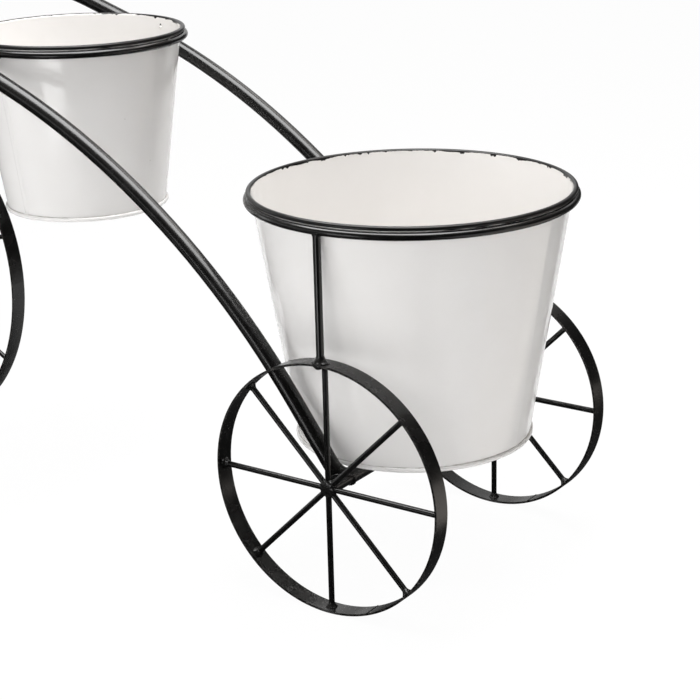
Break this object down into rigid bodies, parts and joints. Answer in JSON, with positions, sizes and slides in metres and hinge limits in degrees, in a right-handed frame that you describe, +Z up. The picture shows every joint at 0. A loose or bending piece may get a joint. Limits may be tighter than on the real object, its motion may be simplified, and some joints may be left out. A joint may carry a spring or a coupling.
{
  "type": "tricycle plant stand",
  "caption": "Black steel tricycle-shaped plant stand with white pots hung in rings on a bent tube frame; the front wheel turns and steers and the pots lift out.",
  "frame": {"origin": "on the ground under the middle of the stand's bounding box", "axes": "+X along the stand from the front wheel towards the rear axle, +Y to the rider's right, +Z up"},
  "size_m": [0.906, 0.3034, 0.6217],
  "materials": {
    "frame_paint": "satin black paint",
    "pot_enamel": "gloss white enamel, black painted rim",
    "rim_wire": "plain drawn wire",
    "grip_rubber": "matt black rubber",
    "hardware": "blackened steel"
  },
  "bodies": {
    "frame": {"rail_left": "frame_paint", "rail_right": "frame_paint", "rear_crossbar": "frame_paint", "front_bow": "frame_paint", "head_tube": "frame_paint", "rear_rim_left": "frame_paint", "rear_rim_right": "frame_paint", "rear_spokes_left": "frame_paint", "rear_spokes_right": "frame_paint", "rear_hub_left": "frame_paint", "rear_hub_right": "frame_paint", "riser_left": "frame_paint", "riser_right": "frame_paint", "large_ring": "frame_paint", "small_ring": "frame_paint", "ring_stub_left": "frame_paint", "ring_stub_right": "frame_paint"},
    "fork": {"fork_tube": "frame_paint", "fork_tip_left": "frame_paint", "fork_tip_right": "frame_paint", "steering_stem": "frame_paint", "head_washer": "hardware", "stop_screw": "hardware", "handlebar": "frame_paint", "grip_left": "grip_rubber", "grip_right": "grip_rubber", "axle_bolt": "hardware", "axle_nut": "hardware", "axle_washers": "hardware"},
    "front_wheel": {"front_rim": "frame_paint", "front_spokes": "frame_paint", "front_hub": "frame_paint"},
    "large_pot": {"large_pot_wall": "pot_enamel", "large_pot_floor": "pot_enamel", "large_pot_rim_wire": "rim_wire"},
    "small_pot": {"small_pot_wall": "pot_enamel", "small_pot_floor": "pot_enamel", "small_pot_rim_wire": "rim_wire"}
  },
  "joints": [
    {"name": "steering", "type": "hinge", "parent": "frame", "child": "fork", "pos_m": [-0.28602, 0, 0.167], "axis": [0.2079, 0, 0.9781], "range_deg": [-35, 35]},
    {"name": "front_wheel_spin", "type": "hinge", "parent": "fork", "child": "front_wheel", "pos_m": [-0.28602, 0, 0.167], "axis": [0, 1, 0], "continuous": true},
    {"name": "large_pot_lift", "type": "slide", "parent": "frame", "child": "large_pot", "axis": [0, 0, 1], "range_m": [0, 0.21]},
    {"name": "small_pot_lift", "type": "slide", "parent": "frame", "child": "small_pot", "axis": [0, 0, 1], "range_m": [0, 0.155]}
  ]
}
